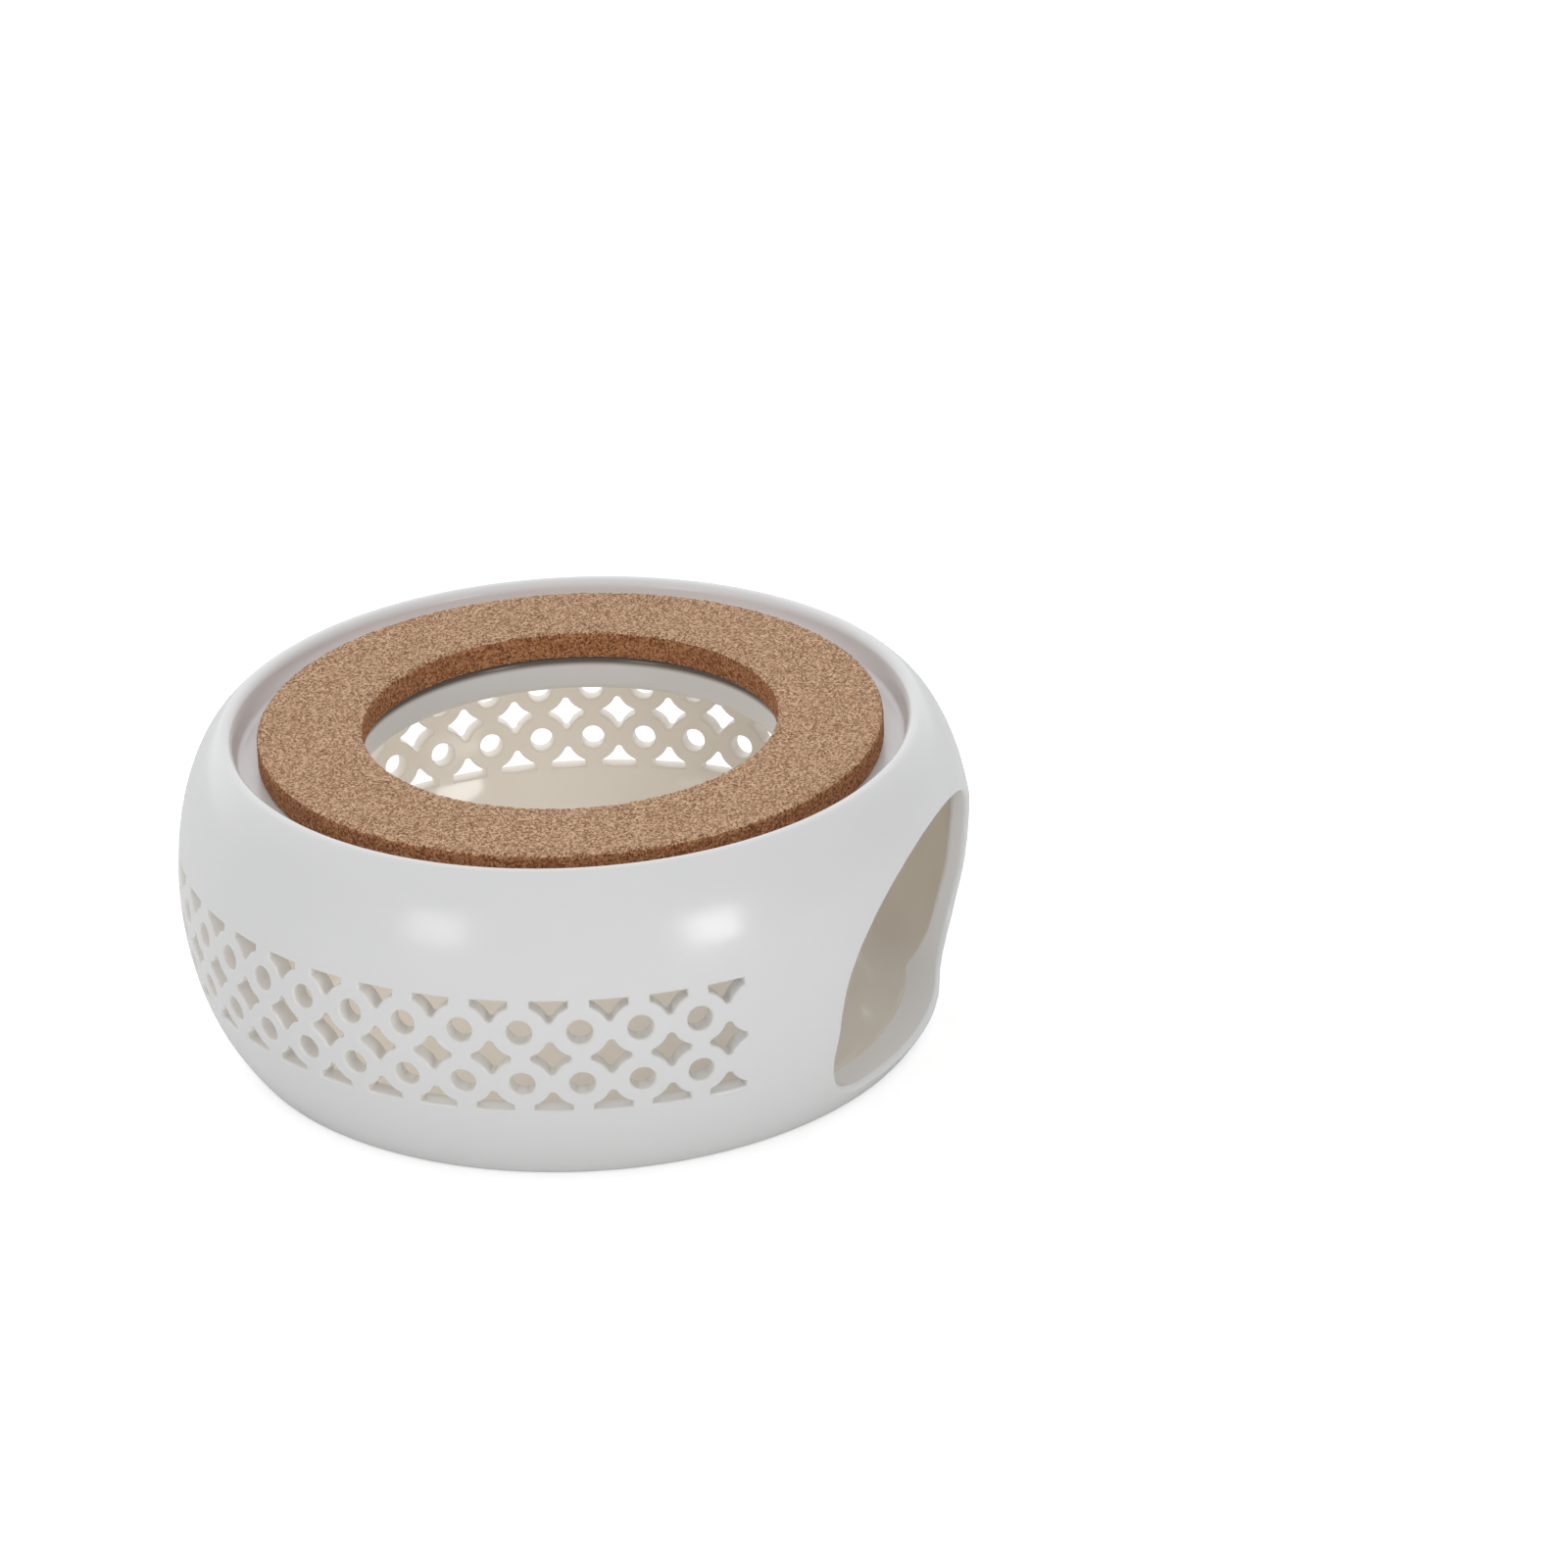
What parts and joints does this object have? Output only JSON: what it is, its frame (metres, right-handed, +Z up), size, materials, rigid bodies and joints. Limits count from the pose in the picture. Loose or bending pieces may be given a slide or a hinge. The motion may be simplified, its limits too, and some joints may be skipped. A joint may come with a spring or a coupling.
{
  "type": "teapot warmer",
  "caption": "Squat round porcelain teapot warmer with a pierced star lattice, an arched side opening for a tealight and a loose cork ring in the top.",
  "frame": {"origin": "centre of the foot's underside, on the warmer's upright axis", "axes": "+Z is up; the side opening for the tealight faces -Y; the pierced lattice is centred on +Y"},
  "size_m": [0.1346, 0.1319, 0.0546],
  "materials": {
    "porcelain": "white gloss glaze",
    "cork": "matte pressed cork"
  },
  "bodies": {
    "root": {"porcelain_body": "porcelain", "cork_ring": "cork"}
  },
  "joints": []
}
